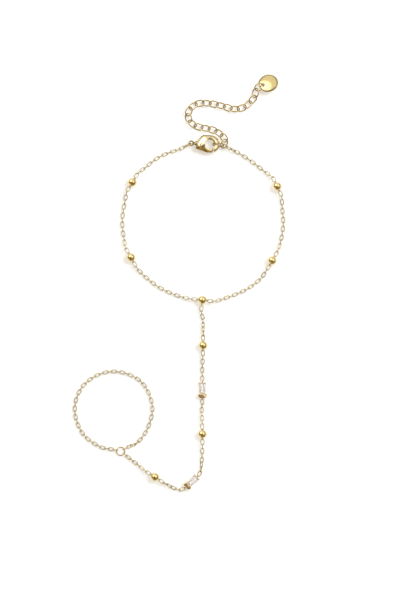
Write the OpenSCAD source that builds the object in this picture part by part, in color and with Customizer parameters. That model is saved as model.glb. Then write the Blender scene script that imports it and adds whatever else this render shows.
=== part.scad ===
// Hand chain bracelet: a wrist chain that closes with a lobster clasp and an extender, and a hand chain
// with two set stones that ends in a finger loop. It lies flat. The origin is the middle of the wrist
// loop on the surface, with +Y toward the clasp and +Z up.

/* [Fine chain] */
// Wire of a fine link
fine_wire = 0.26; // [0.22:0.01:0.27]
// Outside length of a fine link
fine_length = 2.15; // [2.15:0.05:2.5]
// Outside width of a fine link
fine_width = 1.25; // [1.2:0.05:1.4]
// Play between links, so that a chain can bend
play = 0.03; // [0.03:0.01:0.06]
// Extra play in the finger loop, which lies more bunched
finger_play = 0.12; // [0:0.02:0.12]

/* [Extender] */
// Wire of an extender link
ext_wire = 0.4; // [0.34:0.02:0.44]
// Outside length of an extender link
ext_length = 3.3; // [3.1:0.1:3.8]
// Outside width of an extender link
ext_width = 2.6; // [2.5:0.1:2.8]
// Lean of the extender's links, to one side and then the other
ext_lean = 35; // [33:1:45]

/* [Beads] */
// Diameter of a bead
bead_d = 3; // [2.7:0.05:3.2]

/* [Jump rings] */
// Wire of the clasp, finger and tag rings
ring_wire = 0.35; // [0.3:0.01:0.38]
// Outside diameter of the clasp ring
clasp_ring_d = 3.2; // [3:0.1:3.6]
// Outside diameter of the finger ring
finger_ring_d = 3; // [2.8:0.1:3.4]
// Outside diameter of the tag ring
tag_ring_d = 3.2; // [3:0.1:3.6]
// Wire of the end ring
end_wire = 0.45; // [0.4:0.01:0.46]
// Outside diameter of the end ring
end_ring_d = 4; // [4:0.1:4.4]

/* [Clasp] */
// Distance from the eye's centre to the hook's centre
clasp_reach = 6.3; // [6.2:0.1:7]
// Opening inside the hook
hook_opening = 2.9; // [2.8:0.1:3.3]
// Width of the hook's wall, seen from above
hook_wall = 1.35; // [1.25:0.05:1.4]
// How much wider the hook's wall is at its far end
hook_more = 0.35; // [0.2:0.05:0.4]
// Height of the hook's wall
hook_height = 1.7; // [1.4:0.1:1.8]
// Height of the clasp's boss
boss_height = 2.2; // [2:0.1:2.6]
// Height of the lever
lever_height = 0.9; // [0.7:0.1:1]
// Diameter of the rivet
rivet_d = 0.6; // [0.5:0.05:0.7]
// Hole in the clasp's eye
eye_hole = 0.86; // [0.8:0.02:1]
// Wire of the clasp's eye
eye_wire = 0.54; // [0.44:0.02:0.6]

/* [Stones] */
// Length of a stone
stone_length = 4.3; // [3.9:0.1:4.7]
// Width of a stone
stone_width = 2; // [1.8:0.1:2.4]
// Depth of a stone, table to keel
stone_depth = 1.35; // [1.2:0.05:1.45]

/* [Tag] */
// Diameter of the tag
tag_d = 6.2; // [5.6:0.1:7]
// Thickness of the tag
tag_t = 0.6; // [0.5:0.05:0.7]
// Hole in the tag
tag_hole = 1.2; // [1.1:0.05:1.4]
// Slope at which the tag leans on its ring
tag_slope = 26; // [22:1:28]

/* [Gaps] */
// Least gap between pieces that hook or lie against each other
gap = 0.1; // [0.1:0.01:0.12]
// Running gap between the lever's bore and the rivet
run_gap = 0.05; // [0.03:0.01:0.08]

/* [Hidden] */
$fn = 24;

// Where the chains lie, seen from above: [x, y] is a place that a chain passes, and a third entry names
// the piece that sits there. Each chain runs from its first piece to its last.
ROUTE = [
    // wrist chain, from the clasp ring down the left side, through the middle bead and up the right side
    [[-6.2, 23.8, "ring"], [-10, 22.5], [-14.5, 20.5], [-18.8, 17.1], [-22.6, 12.6, "bead"],
     [-24.9, 6.8], [-25.8, 0.4], [-25.1, -6.2], [-23, -11.4, "bead"], [-19.4, -16.6],
     [-14.4, -20.6], [-8.5, -23.4], [-0.2, -25, "bead"], [5.5, -24.9], [13.2, -21.9],
     [18.4, -18.2], [22.1, -12.4, "bead"], [24.6, -7.4], [25.7, -1], [25.3, 5.2],
     [23.7, 11.3, "bead"], [20.2, 15.8], [15, 19.8], [10.8, 22.4], [7.2, 24.4, "ring"]],
    // hand chain, from the middle bead to the finger ring
    [[-0.1, -25, "bead"], [0, -31], [0, -39.5, "bead"], [-0.2, -46], [-0.2, -53.6, "stone"],
     [-0.4, -59.5], [-0.2, -67.8, "bead"], [-0.3, -75], [-3.6, -83, "stone"], [-9.6, -84.9],
     [-15.4, -81.5, "bead"], [-20.6, -77.8], [-25.3, -74.4, "ring"]],
    // finger loop, from the finger ring round and back to it
    [[-25.2, -72.6, "ring"], [-21, -70.6], [-17.4, -65.4], [-16.2, -58.6], [-19.4, -51.4],
     [-26, -48], [-33, -48.6], [-38.8, -53], [-41, -60], [-38.6, -67.4], [-33, -71.8],
     [-27.6, -73, "ring"]],
    // extender, from the end ring round the clasp to the tag ring
    [[7.2, 24.2, "ring"], [7.2, 26.4], [5.1, 28.6], [1.4, 29.9], [-2.4, 30.6], [-4.8, 33],
     [-4.4, 36], [-1.8, 37.9], [2, 37.9], [6.2, 37.1], [10, 36], [13.5, 36.8],
     [16.9, 42.1, "ring"]]
];
CLASP_EYE = [-3.8, 25.1];
FINGER_RING = [-26.3, -73.3];
TAG_RING = [17.9, 43];
STONE_TURN = [-90, 222];

// Directions, in degrees from +X
clasp_turn = -3;
end_ring_turn = -4;
clasp_ring_turn = 207;
tag_turn = 203;
tag_uphill = 290;
// Where on its ring a chain hooks, in degrees down from level
droop = 7;
ext_droop = 32;
tag_droop = 30;
// How far the chain swings aside where it leaves the second setting
swing = 24;
// Lean of a ring's plane from upright
end_ring_lean = 14;
tag_ring_lean = 20;

// Plain vector helpers
function unit(v) = v / norm(v);
function level(turn) = [cos(turn), sin(turn), 0];
function tilt(v) = asin(v[2] / norm(v));
function turn(v) = atan2(v[1], v[0]);
function side_of(v) = unit(cross([0, 0, 1], v));
function up_of(v) = cross(unit(v), side_of(v));
function at_height(p, z) = [p[0], p[1], z];
// Roll of a link that runs along v and has its flat side's normal along n
function roll_of(v, n) = atan2(-n * side_of(v), n * up_of(v));
function half_turn(a) = a - 180 * round(a / 180);

// A smooth curve through points, cut into short pieces
curve_steps = 10;
function heading(p, i) =
    let (a = p[max(i - 1, 0)], b = p[i], c = p[min(i + 1, len(p) - 1)])
    (c - a) / (norm(c - b) + norm(b - a));
function between(p, i, t) =
    let (a = p[i], b = p[i + 1], reach = norm(b - a), s = t * t, c = s * t)
    (2 * c - 3 * s + 1) * a + (c - 2 * s + t) * reach * heading(p, i)
    + (3 * s - 2 * c) * b + (c - s) * reach * heading(p, i + 1);
function curve(p) = [
    for (i = [0:len(p) - 2], k = [0:curve_steps - 1]) between(p, i, k / curve_steps),
    p[len(p) - 1]
];
function running(p) = [
    for (i = 0, s = 0; i < len(p); s = s + (i + 1 < len(p) ? norm(p[i + 1] - p[i]) : 0), i = i + 1) s
];
// Joints at equal steps along a curve, none lower than low
function joints(p, pitch, low) =
    let (
        s = running(p),
        total = s[len(s) - 1],
        count = ceil(total / pitch),
        along = [for (axis = [0:2]) [for (i = [0:len(p) - 1]) [s[i], p[i][axis]]]]
    )
    [for (k = [0:count]) let (here = total * k / count)
        [lookup(here, along[0]), lookup(here, along[1]), max(low, lookup(here, along[2]))]];

// What a chain hooks on: [joint, direction away from the piece, normal of the first link]
function hook(p, tangent, wire, link_wire, away, normal) =
    let (
        along = unit(away),
        flat = unit(normal - (normal * along) * along),
        skew = abs(along * unit(cross(tangent, cross(flat, along)))),
        apart = ((wire + link_wire) / 2 + gap) / skew
    )
    [p - along * (apart - (link_wire + gap) / 2), along, flat];
// A ring: [centre, level direction in its plane, other direction in its plane, outside diameter, wire]
function ring_axis(r) = cross(r[1], r[2]);
function ring_mean(r) = (r[3] - r[4]) / 2;
function ring_point(r, a) = r[0] + ring_mean(r) * (cos(a) * r[1] + sin(a) * r[2]);
function ring_tangent(r, a) = cos(a) * r[2] - sin(a) * r[1];
function ring_hook(r, a, link_wire, away) =
    let (t = ring_tangent(r, a), v = unit(away - (away * t) * t))
    hook(ring_point(r, a), t, r[4], link_wire, v, t);
function upright_ring(centre, turn, lean, d, wire) =
    [centre, level(turn), cos(lean) * [0, 0, 1] + sin(lean) * level(turn + 90), d, wire];

// Links of a chain: [centre, direction, roll] for each. Neighbours are rolled apart by crossing, about a
// lean that eases from the first hook's to the chain's own and on to the last hook's.
ease = 4;
function link_list(from, to, points, length, wire, slack, low, crossing, lean, held) =
    let (
        pitch = length - 2 * wire - gap - play - slack,
        guide = [from[0] + from[1] * pitch, to[0] + to[1] * pitch],
        path = concat([from[0], guide[0]], [for (q = points) at_height(q, low)], [guide[1], to[0]]),
        j = joints(curve(path), pitch, low),
        n = len(j) - 1,
        away = [for (k = [0:n - 1]) unit(j[k + 1] - j[k])],
        odd = (n - 1) % 2 == 1,
        first = held ? half_turn(roll_of(away[0], from[2]) - crossing / 2 - lean) : 0,
        last = held ? half_turn(roll_of(away[n - 1], to[2]) - (odd ? -1 : 1) * crossing / 2 - lean) : 0
    )
    [for (k = [0:n - 1]) [
        (j[k] + j[k + 1]) / 2,
        away[k],
        lean + (k % 2 == 0 ? 1 : -1) * crossing / 2
            + first * max(0, 1 - k / ease) + last * max(0, 1 - (n - 1 - k) / ease)
    ]];

// Stations of a route, and the points between two of them
function stations(r) = [for (i = [0:len(r) - 1]) if (len(r[i]) == 3) i];
function points_after(r, s) =
    let (at = stations(r)) [for (i = [at[s] + 1:at[s + 1] - 1]) r[i]];
function station(r, s, z) = at_height(r[stations(r)[s]], z);
function station_turn(r, s) =
    let (i = stations(r)[s], a = r[max(i - 1, 0)], b = r[min(i + 1, len(r) - 1)])
    atan2(b[1] - a[1], b[0] - a[0]);

// Fine links and the long link in a bead
fine_low = fine_width / 2;
fine_lean = -45;
bead_link_width = 3 * fine_wire + 2 * gap;
bead_bore = bead_link_width + 2 * gap;
bead_face = sqrt(pow(bead_d, 2) - pow(bead_bore, 2)) / 2;
bead_link_length = ceil(100 * (2 * bead_face + 4 * gap + 4 * fine_wire)) / 100;
bead_link_half = (bead_link_length - fine_wire) / 2;
bead_z = bead_d / 2;
bead_eye_mean = 0.42;
bead_eye_sunk = 0.1;
bead_eye_at = bead_z + bead_eye_mean - bead_eye_sunk;
// A hook on an upright eye or link end, away from its piece at the given turn
function upright_hook(p, wire, away_turn) =
    hook(p, [0, 0, 1], wire, fine_wire, level(away_turn), [0, 0, 1]);
function bead_hook(r, s, forward) =
    let (t = station_turn(r, s) + (forward ? 0 : 180))
    upright_hook(station(r, s, bead_z) + bead_link_half * level(t), fine_wire, t);

// Setting and stone, with the chain along X, start at -X, and the surface at z = 0
rail_wide = 0.3;
rail_high = 0.35;
rail_z = 0.22;
rail_tuck = 0.08;
bar_wide = 0.35;
cap_wall = 0.45;
cap_r = 0.85;
cap_round = 0.3;
cap_brim = 0.38;
cap_notch = 0.5;
cap_notch_run = 0.4;
lug_wire = 0.3;
lug_mean = 0.44;
lug_z = 0.7;
lug_out = 3 * gap + fine_wire + lug_wire / 2;
near_face = stone_length / 2 + gap + 0.12;
far_face = stone_length / 2 + gap + cap_wall;
keel_z = 0.35;
table_z = keel_z + stone_depth;
cap_spread = stone_width / 2 + cap_brim - cap_r;
cap_front = far_face - 2 * cap_r;
stone_corner = 0.16;
claw_d = 0.3;
claw_reach = 0.4;
claw_out = (gap + claw_d / 2) / sqrt(2) - stone_corner * stone_width / 4;
claw_at = [stone_length, stone_width] / 2 + [claw_out, claw_out];
cap_top = table_z + 3 * gap;
// Levels of the stone from keel to table: share of its depth, of its length and of its width
STONE_LEVELS = [[0, 0.5, 0.12], [0.35, 0.8, 0.62], [0.62, 1, 1], [0.7, 1, 1], [0.86, 0.9, 0.82],
    [1, 0.78, 0.6]];
girdle_z = keel_z + 0.7 * stone_depth;
function setting_hook(s, forward) =
    let (
        t = STONE_TURN[s],
        out = (forward ? far_face : near_face) + lug_out,
        aside = s == 0 ? 0 : swing,
        at = station(ROUTE[1], s == 0 ? 2 : 4, lug_z)
    )
    upright_hook(at + (forward ? out : -out) * level(t), lug_wire, t + (forward ? -aside : 180 + aside));

// Clasp, in its own frame: the eye at the origin, +X toward the hook, z = 0 at mid height
hook_inner = hook_opening / 2;
hook_mid = hook_inner + hook_wall / 2;
hook_outer = hook_inner + hook_wall;
hook_end_wall = hook_wall + hook_more;
hook_round = 0.6;
hook_tip = -62;
opening_at = [clasp_reach - hook_more, 0];
pivot_back = 1.1;
pivot_down = 0.45;
pivot = [opening_at[0] - hook_inner - pivot_back, -pivot_down];
boss_at = pivot - [0.5, 0];
boss_r = 1.5;
boss_turn = 55;
boss_run = 2.2;
shoulder_at = boss_at + boss_run * [cos(boss_turn), sin(boss_turn)];
shoulder_turn = 2;
shoulder_run = clasp_reach - shoulder_at[0] - 0.6;
cheek_low = pivot[1] - 0.6;
body_round = 0.75;
neck_start = eye_hole / 2 + eye_wire / 2;
neck_r = 0.45;
neck_end_r = 0.95;
neck_turn = 4;
neck_run = boss_at[0] - neck_start - 0.6;
lever_reach = norm([clasp_reach, 0] + hook_mid * [cos(hook_tip - 4), sin(hook_tip - 4)] - pivot);
lever_inset = 0.08;
lever_slim = 0.16;
lever_root_r = 0.85;
lever_round = 0.2;
thumb_at = pivot - [1.3, 0.87];
thumb_r = 0.6;
thumb_turn = -14.5;
thumb_run = 3.5;
slot_height = lever_height + 2 * gap;
head_d = rivet_d + 0.36;
head_h = 0.14;
eye_mean = (eye_hole + eye_wire) / 2;

// Jump rings. The clasp hangs between the clasp ring and the end ring, just over the surface.
end_ring_z = (end_ring_d - end_wire) / 2 * cos(end_ring_lean) + end_wire / 2;
clasp_z = end_ring_z - gap;
wall_fit = end_ring_d / 2 - end_wire - 1.3 * gap - hook_round / cos(end_ring_lean);
wall_rise = (hook_height / 2 - hook_round + gap) / cos(end_ring_lean);
wall_off = sqrt(pow(wall_fit, 2) - pow(wall_rise, 2)) - (hook_end_wall / 2 - hook_round) / cos(end_ring_lean);
hook_centre = at_height(CLASP_EYE, clasp_z) + clasp_reach * level(clasp_turn);
end_ring_at = at_height(hook_centre + (hook_outer - hook_end_wall / 2 + wall_off) * level(end_ring_turn),
    end_ring_z);
END_RING = upright_ring(end_ring_at, end_ring_turn, end_ring_lean, end_ring_d, end_wire);
clasp_ring_mean = (clasp_ring_d - ring_wire) / 2;
clasp_ring_at = at_height(CLASP_EYE, clasp_ring_d / 2) + clasp_ring_mean * level(clasp_ring_turn);
CLASP_RING = upright_ring(clasp_ring_at, clasp_ring_turn, 0, clasp_ring_d, ring_wire);
FLAT_RING = [at_height(FINGER_RING, fine_low), [1, 0, 0], [0, 1, 0], finger_ring_d, ring_wire];

// Tag: its lower rim touches the surface and its hole hangs on the tag ring
tag_edge = 0.7;
tag_round = 0.15;
tag_mid_z = tag_round + (tag_d / 2 - tag_round) * sin(tag_slope) + (tag_t / 2 - tag_round) * cos(tag_slope);
tag_hole_at = tag_d / 2 - tag_edge - tag_hole / 2;
tag_normal = cos(tag_slope) * [0, 0, 1] - sin(tag_slope) * level(tag_uphill);
tag_out = unit(level(tag_turn) - (level(tag_turn) * tag_normal) * tag_normal);
tag_ring_mean = (tag_ring_d - ring_wire) / 2;
tag_at = at_height(TAG_RING, tag_mid_z) - (tag_hole_at + tag_ring_mean) * level(tag_turn);
tag_ring_up = cos(tag_ring_lean) * tag_normal + sin(tag_ring_lean) * cross(tag_out, tag_normal);
TAG_LOOP = [tag_at + (tag_hole_at + tag_ring_mean) * tag_out, tag_out, tag_ring_up, tag_ring_d, ring_wire];

// Extender links lean to one side and then the other, so they lie low
ext_low = (ext_width - ext_wire) / 2 * sin(ext_lean) + ext_wire / 2;

// Hooks of each chain, in the order of its legs: [from, to]
wrist_out = level(station_turn(ROUTE[0], 6) + 180);
wrist_hooks = [
    [ring_hook(CLASP_RING, -droop, fine_wire, level(clasp_ring_turn)), bead_hook(ROUTE[0], 1, false)],
    [bead_hook(ROUTE[0], 1, true), bead_hook(ROUTE[0], 2, false)],
    [bead_hook(ROUTE[0], 2, true), bead_hook(ROUTE[0], 3, false)],
    [bead_hook(ROUTE[0], 3, true), bead_hook(ROUTE[0], 4, false)],
    [bead_hook(ROUTE[0], 4, true), bead_hook(ROUTE[0], 5, false)],
    [bead_hook(ROUTE[0], 5, true), ring_hook(END_RING, -droop, fine_wire, wrist_out)]
];
middle_turn = station_turn(ROUTE[0], 3);
middle_at = station(ROUTE[0], 3, bead_z);
middle_eye = middle_at + (bead_eye_at + bead_eye_mean) * level(middle_turn - 90);
function finger_hook(a) = ring_hook(FLAT_RING, a, fine_wire, level(a));
hand_hooks = [
    [upright_hook(middle_eye, fine_wire, middle_turn - 90), bead_hook(ROUTE[1], 1, false)],
    [bead_hook(ROUTE[1], 1, true), setting_hook(0, false)],
    [setting_hook(0, true), bead_hook(ROUTE[1], 3, false)],
    [bead_hook(ROUTE[1], 3, true), setting_hook(1, false)],
    [setting_hook(1, true), bead_hook(ROUTE[1], 5, false)],
    [bead_hook(ROUTE[1], 5, true), finger_hook(-38)]
];
ext_hooks = [
    hook(ring_point(END_RING, -ext_droop), ring_tangent(END_RING, -ext_droop), end_wire, ext_wire,
        level(62), [0, 0, 1]),
    hook(ring_point(TAG_LOOP, -tag_droop), ring_tangent(TAG_LOOP, -tag_droop), ring_wire, ext_wire,
        level(260), [0, 0, 1])
];

// Links of each leg
function fine_links(hooks, points, slack = 0) =
    link_list(hooks[0], hooks[1], points, fine_length, fine_wire, slack, fine_low, 90, fine_lean, true);
function wrist_links(s) = fine_links(wrist_hooks[s], points_after(ROUTE[0], s));
function hand_links(s) = fine_links(hand_hooks[s], points_after(ROUTE[1], s));
function finger_links() =
    fine_links([finger_hook(32), finger_hook(167)], points_after(ROUTE[2], 0), finger_play);
function ext_links() =
    link_list(ext_hooks[0], ext_hooks[1], points_after(ROUTE[3], 0), ext_length, ext_wire, 0, ext_low,
        2 * ext_lean, 0, false);

// One oval link, flat, along X
module link(length, width, wire) {
    bend = (width - wire) / 2;
    straight = length - width;
    for (end = [0, 180])
        rotate(end) translate([straight / 2, 0, 0]) rotate(-90)
            rotate_extrude(angle = 180) translate([bend, 0]) circle(d = wire);
    for (y = [-bend, bend])
        translate([-straight / 2, y, 0]) rotate([0, 90, 0]) cylinder(d = wire, h = straight);
}

// Half of a flat slab's section, from 0 to its rim, with its rim rounded and its inner edge too if asked
module slab_half(r, h, bend, inner = 0) {
    translate([inner, -h / 2]) square([r - bend - inner, h]);
    translate([0, bend - h / 2]) square([r, h - 2 * bend]);
    for (z = [-1, 1]) {
        translate([r - bend, z * (h / 2 - bend)]) circle(bend);
        if (inner > 0) translate([inner, z * (h / 2 - inner)]) circle(inner);
    }
}

// A flat slab with round ends and a rounded rim, from the origin along X
module slab(length, r, h, bend) {
    if (length > 0) {
        rotate(90) rotate_extrude(angle = 180) slab_half(r, h, bend);
        translate([length, 0, 0]) rotate(-90) rotate_extrude(angle = 180) slab_half(r, h, bend);
        for (side = [0, 1])
            mirror([0, side, 0]) rotate([90, 0, 90]) linear_extrude(length) slab_half(r, h, bend);
    } else {
        rotate_extrude() slab_half(r, h, bend);
    }
}

// A wide plate of height h round a hole of radius r with rounded edges
module round_hole(r, h, bend) {
    rotate_extrude() translate([r, 0]) slab_half(2 * hook_outer, h, bend, bend);
}

// A piece put where it lies, along a direction and rolled about it
module placed(centre, along, roll) {
    translate(centre) rotate([roll, -tilt(along), turn(along)]) children();
}

module fine_chain(links) {
    color([0.87, 0.79, 0.6])
        for (l = links) placed(l[0], l[1], l[2]) link(fine_length, fine_width, fine_wire);
}

// A round ring from its list
module round_ring(r) {
    axis = ring_axis(r);
    color([0.84, 0.74, 0.5])
        translate(r[0]) rotate([0, acos(axis[2]), turn(axis)])
            rotate_extrude() translate([ring_mean(r), 0]) circle(d = r[4]);
}

module bead(r, s) {
    translate(station(r, s, bead_z)) rotate([0, 90, station_turn(r, s)]) difference() {
        sphere(d = bead_d, $fn = 48);
        cylinder(d = bead_bore, h = bead_d, center = true);
    }
}

module gold_bead(r, s) {
    color([0.78, 0.62, 0.3]) bead(r, s);
}

// The middle bead has a soldered eye for the hand chain
module middle() {
    color([0.78, 0.62, 0.3]) union() {
        bead(ROUTE[0], 3);
        translate(middle_at + bead_eye_at * level(middle_turn - 90)) rotate([90, 0, middle_turn - 90])
            rotate_extrude() translate([bead_eye_mean, 0]) circle(d = fine_wire);
    }
}

module bead_link(r, s) {
    color([0.87, 0.79, 0.6]) placed(station(r, s, bead_z), level(station_turn(r, s)), 90)
        link(bead_link_length, bead_link_width, fine_wire);
}

// Stone grown by a margin all round, with its corners cut
module stone_shape(margin) {
    function ring(l) =
        let (
            x = l[1] * stone_length / 2 + margin,
            y = l[2] * stone_width / 2 + margin,
            z = keel_z + l[0] * stone_depth + (l[0] == 0 ? -margin : l[0] == 1 ? margin : 0),
            c = stone_corner * y
        )
        [[x, y - c, z], [x - c, y, z], [c - x, y, z], [-x, y - c, z],
         [-x, c - y, z], [c - x, -y, z], [x - c, -y, z], [x, c - y, z]];
    rings = [for (l = STONE_LEVELS) ring(l)];
    top = len(rings) - 1;
    polyhedron(
        points = [for (r = rings) each r],
        faces = concat(
            [[for (i = [0:7]) i]],
            [for (l = [0:top - 1], i = [0:7])
                [8 * l + i, 8 * (l + 1) + i, 8 * (l + 1) + (i + 1) % 8, 8 * l + (i + 1) % 8]],
            [[for (i = [7:-1:0]) 8 * top + i]]
        )
    );
}

module set_place(s) {
    translate(station(ROUTE[1], s == 0 ? 2 : 4, 0)) rotate(STONE_TURN[s]) children();
}

module stone(s) {
    color([0.93, 0.92, 0.94, 0.6]) set_place(s) stone_shape(0);
}

// A claw stands on the bar outside the stone's corner and bends in over its crown
module claw(x, y) {
    foot = rail_z + rail_high / 2;
    bend = cap_top - claw_d / 2;
    inward = atan2(-y, -x / 2);
    translate([x, y, foot]) cylinder(d = claw_d, h = bend - foot);
    translate([x, y, bend]) {
        sphere(d = claw_d);
        rotate([0, 90, inward]) cylinder(d = claw_d, h = claw_reach);
        rotate(inward) translate([claw_reach, 0, 0]) sphere(d = claw_d);
    }
}

module lug(out) {
    centre = out - sign(out) * lug_mean;
    translate([centre, 0, lug_z]) rotate([90, 0, 0])
        rotate_extrude() translate([lug_mean, 0]) circle(d = lug_wire);
}

module setting(s) {
    rail_y = stone_width / 2 - rail_tuck - rail_wide / 2;
    rail_run = claw_at[0] + far_face - cap_r - 0.1;
    color([0.82, 0.68, 0.4]) set_place(s) {
        for (y = [-1, 1]) {
            translate([0.1 - claw_at[0], y * rail_y - rail_wide / 2, rail_z])
                cube([rail_run, rail_wide, rail_high]);
            claw(-claw_at[0], y * claw_at[1]);
        }
        translate([-claw_at[0], -claw_at[1], rail_z]) cube([bar_wide, 2 * claw_at[1], rail_high]);
        difference() {
            translate([far_face - cap_r, -cap_spread, cap_top / 2]) rotate(90)
                slab(2 * cap_spread, cap_r, cap_top, cap_round);
            stone_shape(gap);
            translate([cap_front - 1, -cap_notch / 2, girdle_z])
                cube([cap_notch_run + 1, cap_notch, cap_top]);
        }
        lug(-near_face - lug_out);
        lug(far_face + lug_out);
    }
}

// Clasp pieces stand at the clasp's place, in its own frame
module clasp_place() {
    translate(at_height(CLASP_EYE, clasp_z)) rotate(clasp_turn) children();
}

module clasp_body() {
    color([0.86, 0.76, 0.5]) clasp_place() {
        rotate_extrude() translate([eye_mean, 0]) circle(d = eye_wire);
        difference() {
            union() {
                translate([neck_start, 0, 0]) rotate([0, 90, neck_turn])
                    cylinder(r1 = neck_r, r2 = neck_end_r, h = neck_run);
                translate(boss_at) rotate(boss_turn) slab(boss_run, boss_r, boss_height, body_round);
                difference() {
                    translate(shoulder_at) rotate(shoulder_turn)
                        slab(shoulder_run, boss_r, boss_height - 0.2, body_round);
                    translate(opening_at)
                        cylinder(r = hook_inner + hook_round, h = boss_height, center = true);
                }
                intersection() {
                    translate([clasp_reach, 0, 0]) rotate(hook_tip)
                        rotate_extrude(angle = 185 - hook_tip) slab_half(hook_outer, hook_height, hook_round);
                    translate(opening_at) round_hole(hook_inner, hook_height, hook_round);
                }
            }
            translate(opening_at) cylinder(r = hook_inner, h = boss_height + 1, center = true);
            translate([pivot[0] - lever_root_r - gap, -hook_outer - 1, -slot_height / 2])
                cube([clasp_reach - pivot[0] + lever_root_r, hook_outer + 1 + lever_root_r + pivot[1] + gap,
                    slot_height]);
            translate([thumb_at[0] - thumb_r - gap, -hook_outer - 1, -slot_height / 2])
                cube([thumb_r + 1, hook_outer + 1 + thumb_at[1] + thumb_r + gap, slot_height]);
            translate([neck_start, cheek_low - hook_outer, -boss_height])
                cube([clasp_reach - neck_start, hook_outer, 2 * boss_height]);
            intersection() {
                translate([clasp_reach, -hook_outer - 1, -boss_height])
                    cube([hook_outer, hook_outer + 1, 2 * boss_height]);
                translate(pivot)
                    cylinder(r = lever_reach + gap, h = 3 * boss_height, center = true, $fn = 96);
            }
            translate(pivot) cylinder(d = rivet_d + 2 * run_gap, h = 2 * boss_height, center = true);
        }
    }
}

module clasp_lever() {
    color([0.8, 0.68, 0.42]) clasp_place() difference() {
        union() {
            translate(pivot) slab(0, lever_root_r, lever_height, lever_round);
            intersection() {
                translate([clasp_reach, 0, 0]) rotate(190) rotate_extrude(angle = 170 + hook_tip)
                    slab_half(hook_outer - lever_inset, lever_height, lever_round);
                translate(opening_at) round_hole(hook_inner + lever_slim, lever_height, lever_round);
                translate(pivot) cylinder(r = lever_reach, h = 2 * lever_height, center = true, $fn = 96);
                translate([pivot[0] + 0.3, -hook_outer, -lever_height])
                    cube([lever_reach, hook_outer + pivot[1] + 0.1, 2 * lever_height]);
            }
            translate(thumb_at) rotate(thumb_turn) slab(thumb_run, thumb_r, lever_height, lever_round);
        }
        translate(pivot) cylinder(d = rivet_d + 2 * run_gap, h = 2 * lever_height, center = true);
    }
}

module clasp_rivet() {
    pin = boss_height + 2 * gap;
    color([0.8, 0.68, 0.42]) clasp_place() translate(pivot) {
        cylinder(d = rivet_d, h = pin, center = true);
        for (z = [-1, 1])
            translate([0, 0, z * (pin + head_h) / 2]) cylinder(d = head_d, h = head_h, center = true);
    }
}

module tag() {
    color([0.86, 0.76, 0.5]) translate(tag_at) rotate([0, 0, tag_uphill]) rotate([0, -tag_slope, 0])
        difference() {
            slab(0, tag_d / 2, tag_t, tag_round);
            rotate(tag_turn - tag_uphill) translate([tag_hole_at, 0, 0])
                cylinder(d = tag_hole, h = 2 * tag_t, center = true);
        }
}

module extender() {
    color([0.84, 0.76, 0.55])
        for (l = ext_links()) placed(l[0], l[1], l[2]) link(ext_length, ext_width, ext_wire);
}

fine_chain(wrist_links(0));  // wrist_chain_1
fine_chain(wrist_links(1));  // wrist_chain_2
fine_chain(wrist_links(2));  // wrist_chain_3
fine_chain(wrist_links(3));  // wrist_chain_4
fine_chain(wrist_links(4));  // wrist_chain_5
fine_chain(wrist_links(5));  // wrist_chain_6
gold_bead(ROUTE[0], 1);  // wrist_bead_1
gold_bead(ROUTE[0], 2);  // wrist_bead_2
middle();  // middle_bead
gold_bead(ROUTE[0], 4);  // wrist_bead_3
gold_bead(ROUTE[0], 5);  // wrist_bead_4
bead_link(ROUTE[0], 1);  // wrist_bead_link_1
bead_link(ROUTE[0], 2);  // wrist_bead_link_2
bead_link(ROUTE[0], 3);  // middle_bead_link
bead_link(ROUTE[0], 4);  // wrist_bead_link_3
bead_link(ROUTE[0], 5);  // wrist_bead_link_4
fine_chain(hand_links(0));  // hand_chain_1
fine_chain(hand_links(1));  // hand_chain_2
fine_chain(hand_links(2));  // hand_chain_3
fine_chain(hand_links(3));  // hand_chain_4
fine_chain(hand_links(4));  // hand_chain_5
fine_chain(hand_links(5));  // hand_chain_6
gold_bead(ROUTE[1], 1);  // hand_bead_1
gold_bead(ROUTE[1], 3);  // hand_bead_2
gold_bead(ROUTE[1], 5);  // hand_bead_3
bead_link(ROUTE[1], 1);  // hand_bead_link_1
bead_link(ROUTE[1], 3);  // hand_bead_link_2
bead_link(ROUTE[1], 5);  // hand_bead_link_3
setting(0);  // setting_1
setting(1);  // setting_2
stone(0);  // stone_1
stone(1);  // stone_2
round_ring(FLAT_RING);  // finger_ring
fine_chain(finger_links());  // finger_chain
clasp_body();
clasp_lever();
clasp_rivet();
round_ring(CLASP_RING);  // clasp_ring
round_ring(END_RING);  // end_ring
extender();
round_ring(TAG_LOOP);  // tag_ring
tag();
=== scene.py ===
"""Dresses the hand chain bracelet: its metals and stones, the floor, the light and the camera."""

import bpy
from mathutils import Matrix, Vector

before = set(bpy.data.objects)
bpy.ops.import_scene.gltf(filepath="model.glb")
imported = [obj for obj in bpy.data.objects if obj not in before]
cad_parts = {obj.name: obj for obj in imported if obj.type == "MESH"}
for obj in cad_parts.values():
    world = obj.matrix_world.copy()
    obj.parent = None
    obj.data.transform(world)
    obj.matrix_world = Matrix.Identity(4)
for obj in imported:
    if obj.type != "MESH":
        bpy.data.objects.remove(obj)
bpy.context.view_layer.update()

# Lengths are in metres.
MM = 0.001
# Rays for each soft edge and each nook.
SAMPLES = 8


def select_none():
    """Leaves edit mode and deselects everything."""
    if bpy.context.object and bpy.context.object.mode != "OBJECT":
        bpy.ops.object.mode_set(mode="OBJECT")
    bpy.ops.object.select_all(action="DESELECT")


# Shader maths.


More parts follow.
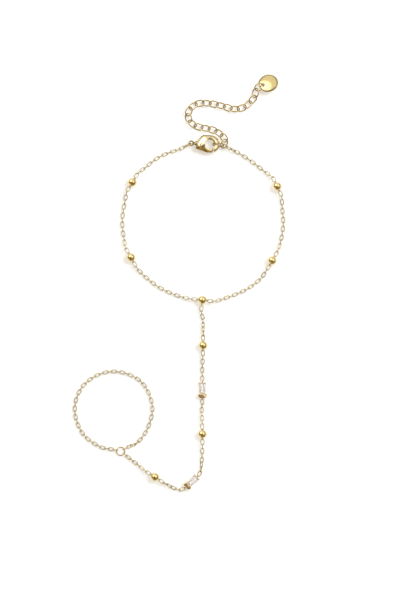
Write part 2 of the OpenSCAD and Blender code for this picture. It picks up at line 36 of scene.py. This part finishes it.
class Socket:
    """One output of a node in a finish; sums, differences and products on it add Math nodes."""

    def __init__(self, finish, output):
        self.finish = finish
        self.output = output

    def maths(self, operation, *numbers):
        """The result of a Math node that is fed the numbers, which are values or sockets."""
        found = self.finish.node("ShaderNodeMath", {"operation": operation}, dict(enumerate(numbers)))
        return found.out("Value")

    def __add__(self, other):
        return self.maths("ADD", self, other)

    def __radd__(self, other):
        return self.maths("ADD", other, self)

    def __sub__(self, other):
        return self.maths("SUBTRACT", self, other)

    def __rsub__(self, other):
        return self.maths("SUBTRACT", other, self)

    def __mul__(self, other):
        return self.maths("MULTIPLY", self, other)

    def __rmul__(self, other):
        return self.maths("MULTIPLY", other, self)


class Made:
    """A node that a finish holds, with its outputs as sockets."""

    def __init__(self, finish, node):
        self.finish = finish
        self.node = node

    def out(self, name):
        return Socket(self.finish, self.node.outputs[name])


class Finish:
    """A material, or the world's air, and the nodes that feed it."""

    def __init__(self, owner, end):
        self.owner = owner
        owner.use_nodes = True
        self.tree = owner.node_tree
        self.shader = self.tree.nodes[end]

    def node(self, kind, settings=None, sockets=None):
        """Adds a node: its settings first, then values or links for its sockets."""
        made = self.tree.nodes.new(kind)
        for setting, value in (settings or {}).items():
            setattr(made, setting, value)
        for name, value in (sockets or {}).items():
            self.feed(made.inputs[name], value)
        return Made(self, made)

    def feed(self, entry, value):
        """Links a socket to the entry, or sets the entry to a value."""
        if isinstance(value, Socket):
            self.tree.links.new(value.output, entry)
        elif entry.type == "RGBA" and len(value) == 3:
            entry.default_value = (*value, 1)
        else:
            entry.default_value = value

    def set(self, **values):
        """Values or links for the shader, with the socket's name in lower case."""
        for name, value in values.items():
            title = "IOR" if name == "ior" else name.replace("_", " ").title()
            self.feed(self.shader.inputs[title], value)

    def place(self, scale=(1, 1, 1), turn=(0, 0, 0)):
        """The point on the object, in its own coordinates, stretched and turned."""
        point = self.node("ShaderNodeTexCoord").out("Object")
        return self.node(
            "ShaderNodeMapping", {}, {"Vector": point, "Scale": scale, "Rotation": turn}
        ).out("Vector")

    def noise(self, size, detail=2, rough=0.5, stretch=(1, 1, 1), turn=(0, 0, 0)):
        """Soft noise from 0 to 1 with spots about size metres across."""
        scaled = tuple(s / size for s in stretch)
        return self.node(
            "ShaderNodeTexNoise",
            {},
            {"Vector": self.place(scaled, turn), "Scale": 1, "Detail": detail, "Roughness": rough},
        ).out("Fac")

    def ramp(self, value, low, high):
        """Value spread out so that low becomes 0 and high becomes 1, with soft ends."""
        return self.node(
            "ShaderNodeMapRange",
            {"interpolation_type": "SMOOTHSTEP"},
            {"Value": value, "From Min": low, "From Max": high},
        ).out("Result")

    def mix(self, share, first, second):
        """A colour between two others: the first at share 0, the second at share 1."""
        return self.node(
            "ShaderNodeMix",
            {"data_type": "RGBA"},
            {"Factor": share, 6: first, 7: second},
        ).out(2)

    def vector(self, operation, first, second, result="Vector"):
        """The result of a Vector Math node on two vectors."""
        return self.node(
            "ShaderNodeVectorMath", {"operation": operation}, {0: first, 1: second}
        ).out(result)

    def turned_away(self, soft):
        """0 where the metal faces the eye, up to 1 where it turns away. A soft normal rounds it."""
        sockets = {"Blend": 0.5}
        if soft:
            sockets["Normal"] = soft
        return self.node("ShaderNodeLayerWeight", {}, sockets).out("Facing")

    def soft_edges(self, radius):
        """A normal that rounds the edges off."""
        return self.node("ShaderNodeBevel", {"samples": SAMPLES}, {"Radius": radius}).out("Normal")

    def nook(self, reach):
        """1 on open metal, towards 0 where a wire or wall stands close to it."""
        return self.node(
            "ShaderNodeAmbientOcclusion",
            {"samples": SAMPLES, "only_local": True},
            {"Distance": reach},
        ).out("AO")

    def bumps(self, height, depth, strength=1.0, under=None):
        """A normal with the height's marks pressed in, depth metres deep."""
        sockets = {"Height": height, "Distance": depth, "Strength": strength}
        if under:
            sockets["Normal"] = under
        return self.node("ShaderNodeBump", {}, sockets).out("Normal")


# The metals.

# Colours of the metals' faces, of the painted reflections toward their rims, and of the painted shade
# and tarnish in their nooks.
PALE = (0.85, 0.72, 0.39)
STRAW = (0.37, 0.29, 0.12)
CREAM = (0.92, 0.77, 0.46)
YELLOW = (0.88, 0.69, 0.33)
HONEY = (0.82, 0.64, 0.31)
GOLD = (0.84, 0.66, 0.27)
PEACH = (0.84, 0.72, 0.50)
AMBER = (0.95, 0.78, 0.52)
TAN = (0.66, 0.52, 0.31)
OLIVE = (0.32, 0.25, 0.10)
BROWN = (0.10, 0.07, 0.025)
DARK = (0.07, 0.045, 0.01)

# The marks on every metal: how big their spots are, and the noise at which they start and are full.
PATCH_SIZE = 2.2 * MM
PATCH_RAMP = (0.3, 0.7)
SPECK_SIZE = 0.35 * MM
SPECK_RAMP = (0.45, 0.75)
PIT_SIZE = 0.5 * MM
# The scuffs are long and thin, and run askew.
SCUFF_SIZE = 0.12 * MM
SCUFF_STRETCH = (1, 7, 1)
SCUFF_TURN = (0.3, 0.2, 0.7)
# How deep they are, as a share of the pits.
SCUFF_DEPTH = 0.4

# How far the metal turns away where the painted reflection on its rims starts and where it is full.
RIM_RAMP = (0.05, 0.45)
# The share of the painted rim reflection in the colour. The patches have the rest.
RIM_SHARE = 0.85
# How open the metal is where the painted nook shade and tarnish are full, and where they end.
NOOK_RAMP = (0.4, 0.97)
# The share of the painted nook shade and tarnish that lies evenly. The specks have the rest.
EVEN_SHADE_AND_TARNISH = 0.6
# What the patches, the specks and the painted nook shade and tarnish add to the roughness.
PATCH_ROUGH = 0.05
SPECK_ROUGH = 0.06
SHADE_AND_TARNISH_ROUGH = 0.2
# The share of the way out to the painted dark rim at which it starts.
PAINTED_DARK_RIM_START = 0.92


def metal(name, face, rim, shade_and_tarnish, gloss, grain, reach, wave=None, soft_edge=0, dome=None, painted_dark_rim=0):
    """A plated metal: its colour facing the eye, a painted reflection, pale or dark, toward its rims,
    and painted shade and tarnish in the nooks.

    Gloss is the clean metal's roughness, grain the depth of its pits, and reach how near a wire or a
    wall stands where the painted nook shade and tarnish start. Wave is the size and the depth of a soft
    unevenness. Soft_edge is the radius that rounds the edges off. Dome is the middle and the radius of
    a domed face, and painted_dark_rim how far out from that middle the painted rim reflection is full,
    as a painted dark rim, on a domed face only.
    """
    finish = Finish(bpy.data.materials.new(name), "Principled BSDF")
    normal = finish.soft_edges(soft_edge) if soft_edge else None
    patches = finish.ramp(finish.noise(PATCH_SIZE, detail=3), *PATCH_RAMP)
    turned = finish.ramp(finish.turned_away(normal), *RIM_RAMP)
    if dome:
        middle, radius = dome
        away = finish.vector("SUBTRACT", finish.place(), middle)
        squared = finish.vector("DOT_PRODUCT", away, away, "Value")
        # A dome falls away by the distance squared over twice its radius.
        normal = finish.bumps(squared * (-0.5 / radius), 1.0, under=normal)
        # A painted dark rim: the painted rim reflection is drawn full near the edge of the domed face.
        if painted_dark_rim:
            painted_rim_shade = finish.ramp(squared * (1 / painted_dark_rim ** 2), PAINTED_DARK_RIM_START ** 2, 1.0)
            turned = turned.maths("MAXIMUM", turned, painted_rim_shade)
    # The colour goes from the face colour to the painted rim reflection as the metal turns away from
    # the eye; random patches add to it.
    tone = finish.mix(turned * RIM_SHARE + patches * (1 - RIM_SHARE), face, rim)
    specks = finish.ramp(finish.noise(SPECK_SIZE, detail=4, rough=0.6), *SPECK_RAMP)
    # Painted shade and tarnish darken the metal where a wire or a wall stands close.
    closed_in = 1 - finish.ramp(finish.nook(reach), *NOOK_RAMP)
    nook_shade_and_tarnish = closed_in * (EVEN_SHADE_AND_TARNISH + specks * (1 - EVEN_SHADE_AND_TARNISH))
    finish.set(
        base_color=finish.mix(nook_shade_and_tarnish, tone, shade_and_tarnish),
        metallic=1.0,
        roughness=gloss + patches * PATCH_ROUGH + specks * SPECK_ROUGH + nook_shade_and_tarnish * SHADE_AND_TARNISH_ROUGH,
    )
    if wave:
        size, depth = wave
        normal = finish.bumps(finish.noise(size, detail=1), depth, under=normal)
    scuffs = finish.noise(SCUFF_SIZE, stretch=SCUFF_STRETCH, turn=SCUFF_TURN)
    pits = finish.noise(PIT_SIZE)
    finish.set(normal=finish.bumps(scuffs * SCUFF_DEPTH + pits, grain, under=normal))
    return finish.owner


def dress(slot, material):
    """Gives every CAD node of this record slot the material."""
    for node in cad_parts.values():
        for entry in node.material_slots:
            if entry.material and entry.material.name == slot:
                entry.material = material


def middle_of(node):
    """The middle of a node's box."""
    spots = [node.matrix_world @ Vector(corner) for corner in node.bound_box]
    return sum(spots, Vector()) / len(spots)


TAG_DOME = (middle_of(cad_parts["tag"]), 12 * MM)
CLASP_DOME = (Vector((1.9 * MM, 23.3 * MM, 1.8 * MM)), 8 * MM)
LEVER_DOME = (Vector((1.0 * MM, 23.4 * MM, 1.8 * MM)), 6 * MM)

dress("chain", metal(
    "chain_gold", PALE, STRAW, DARK, gloss=0.16, grain=0.004 * MM, reach=0.5 * MM,
))
dress("beads", metal(
    "bead_gold", GOLD, PEACH, BROWN, gloss=0.08, grain=0.002 * MM, reach=0.3 * MM,
    wave=(1.4 * MM, 0.02 * MM),
))
dress("rings", metal(
    "ring_gold", HONEY, OLIVE, BROWN, gloss=0.13, grain=0.004 * MM, reach=0.3 * MM,
))
dress("clasp", metal(
    "clasp_gold", CREAM, OLIVE, BROWN, gloss=0.08, grain=0.005 * MM, reach=0.3 * MM,
    wave=(2.4 * MM, 0.05 * MM), soft_edge=0.6 * MM, dome=CLASP_DOME,
))
dress("lever", metal(
    "lever_gold", YELLOW, OLIVE, BROWN, gloss=0.08, grain=0.005 * MM, reach=0.3 * MM,
    wave=(2.0 * MM, 0.08 * MM), soft_edge=0.5 * MM, dome=LEVER_DOME,
))
dress("extender", metal(
    "extender_gold", HONEY, OLIVE, BROWN, gloss=0.13, grain=0.004 * MM, reach=0.35 * MM,
))
dress("settings", metal(
    "setting_gold", AMBER, TAN, BROWN, gloss=0.12, grain=0.004 * MM, reach=0.05 * MM,
    wave=(0.9 * MM, 0.20 * MM), soft_edge=0.45 * MM,
))
dress("tag", metal(
    "tag_gold", YELLOW, OLIVE, BROWN, gloss=0.10, grain=0.003 * MM, reach=0.2 * MM,
    wave=(4.0 * MM, 0.03 * MM), soft_edge=0.3 * MM, dome=TAG_DOME, painted_dark_rim=2.75 * MM,
))


# The stones.

CLEAR = (1.0, 0.985, 0.985)
VEIL = (0.97, 0.93, 0.945)
VEIL_SIZE = 0.9 * MM
VEIL_RAMP = (0.35, 0.8)
# The clear stone's roughness, and what the veils add to it.
STONE_ROUGH = 0.01
VEIL_ROUGH = 0.03
# The slight unevenness that polishing leaves.
POLISH_SIZE = 0.4 * MM
POLISH_DEPTH = 0.001 * MM
# The stone's faint glow is painted light that lightens it; the stone is no lamp.
STONE_GLOW_COLOUR = (1.0, 0.97, 0.98)
STONE_GLOW = 0.06


def clear_stone():
    """Clear glass with a breath of rose and faint cloudy veils inside, and a slight painted glow that
    lightens it.
    """
    finish = Finish(bpy.data.materials.new("clear_stone"), "Principled BSDF")
    veil = finish.ramp(finish.noise(VEIL_SIZE, detail=4, rough=0.6), *VEIL_RAMP)
    finish.set(
        base_color=finish.mix(veil, CLEAR, VEIL),
        roughness=STONE_ROUGH + veil * VEIL_ROUGH,
        normal=finish.bumps(finish.noise(POLISH_SIZE), POLISH_DEPTH),
    )
    finish.set(metallic=0.0, ior=1.5, transmission_weight=0.86)
    finish.set(emission_color=STONE_GLOW_COLOUR, emission_strength=STONE_GLOW)
    return finish.owner


dress("stones", clear_stone())


# Floor, light and camera.

FLOOR_WIDTH = 6
FLOOR_DROP = 0.01 * MM
PAPER_LOW = (0.885, 0.90, 0.93)
PAPER_HIGH = (0.905, 0.92, 0.95)
PAPER_GRAIN_SIZE = 0.4 * MM
PAPER_GRAIN_DEPTH = 0.01 * MM
PAPER_TINT = (1.0, 0.975, 0.93)
PAPER_GLOW = 0.50


def white_floor():
    """A wide sheet of white paper that glows a little."""
    select_none()
    bpy.ops.mesh.primitive_plane_add(size=FLOOR_WIDTH, location=(0, 0, -FLOOR_DROP))
    floor = bpy.context.object
    floor.name = "paper_floor"
    finish = Finish(bpy.data.materials.new("white_paper"), "Principled BSDF")
    grain = finish.noise(PAPER_GRAIN_SIZE, detail=3)
    finish.set(
        base_color=finish.mix(grain, PAPER_LOW, PAPER_HIGH),
        roughness=0.85,
        normal=finish.bumps(grain, PAPER_GRAIN_DEPTH, strength=0.3),
    )
    finish.set(metallic=0.0, emission_color=PAPER_TINT, emission_strength=PAPER_GLOW)
    floor.data.materials.append(finish.owner)


# The room that the metals mirror is dark and light brown in soft shapes.
ROOM_DARK = (0.16, 0.11, 0.055)
ROOM_LIGHT = (0.42, 0.34, 0.21)
ROOM_SCALE = 3.0
ROOM_RAMP = (0.4, 0.6)
# What stands in it, each in front of the one before: the direction of its middle, the cosines of the
# angles from there at which it fades out and is full, and its light.
SURROUNDINGS = [
    # A white card, low on the left.
    {"toward": (-0.74, -0.66, 0.10), "fades_out": 0.85, "full": 0.97, "light": (0.85, 0.84, 0.82)},
    # A pale wall on the far side.
    {"toward": (-0.05, 0.85, 0.50), "fades_out": 0.76, "full": 0.94, "light": (0.95, 0.94, 0.91)},
    # A bright window, up left.
    {"toward": (-0.49, 0.57, 0.66), "fades_out": 0.89, "full": 0.97, "light": (2.80, 2.77, 2.70)},
    # A wide scrim, up right.
    {"toward": (0.50, 0.34, 0.78), "fades_out": 0.81, "full": 0.96, "light": (1.46, 1.45, 1.40)},
]
# What the camera sees past the floor.
BACKDROP = (0.96, 0.96, 0.96)
# The share of the room's light that is kept off what isn't glossy.
FILL_CUT = 0.55
BLACK = (0.0, 0.0, 0.0)


def studio_air():
    """A dim room with a white card, a pale wall, a bright window and a wide scrim around the table."""
    world = bpy.data.worlds.new("studio_air")
    bpy.context.scene.world = world
    air = Finish(world, "Background")
    way = air.node("ShaderNodeTexCoord").out("Generated")
    shapes = air.node("ShaderNodeTexNoise", {}, {"Vector": way, "Scale": ROOM_SCALE, "Detail": 1.0})
    glow = air.mix(air.ramp(shapes.out("Fac"), *ROOM_RAMP), ROOM_DARK, ROOM_LIGHT)
    for thing in SURROUNDINGS:
        middle = Vector(thing["toward"]).normalized()
        nearness = air.vector("DOT_PRODUCT", way, middle, "Value")
        glow = air.mix(air.ramp(nearness, thing["fades_out"], thing["full"]), glow, thing["light"])
    path = air.node("ShaderNodeLightPath")
    fill = air.mix(path.out("Is Diffuse Ray") * FILL_CUT, glow, BLACK)
    air.set(color=air.mix(path.out("Is Camera Ray"), fill, BACKDROP), strength=1.0)


KEY_PLACE = Vector((0.62, 0.36, 1.00))
KEY_AIM = Vector((0, -0.02, 0))
KEY_WIDTH = 0.45
KEY_POWER = 6.4
KEY_COLOUR = (0.90, 0.95, 1.0)


def key_light():
    """A square softbox, up right, that casts the shadows. The metals mirror the scrim instead of it."""
    select_none()
    bpy.ops.object.light_add(type="AREA", location=KEY_PLACE)
    lamp = bpy.context.object
    lamp.name = "key_light"
    lamp.data.shape = "SQUARE"
    lamp.data.size = KEY_WIDTH
    lamp.data.energy = KEY_POWER
    lamp.data.color = KEY_COLOUR
    lamp.visible_glossy = False
    lamp.rotation_euler = (KEY_AIM - KEY_PLACE).to_track_quat("-Z", "Y").to_euler()


PICTURE_CENTRE = Vector((-0.96 * MM, -24.96 * MM, 0))
CAMERA_HEIGHT = 0.8
LENS = 150
NEAREST = 0.01
FARTHEST = 20


def photo_camera():
    """Looks straight down on the middle of the picture."""
    select_none()
    bpy.ops.object.camera_add(location=PICTURE_CENTRE + Vector((0, 0, CAMERA_HEIGHT)))
    camera = bpy.context.object
    camera.name = "camera"
    camera.data.lens = LENS
    camera.data.clip_start = NEAREST
    camera.data.clip_end = FARTHEST
    bpy.context.scene.camera = camera


white_floor()
studio_air()
key_light()
photo_camera()
bpy.context.scene.view_settings.view_transform = "Standard"
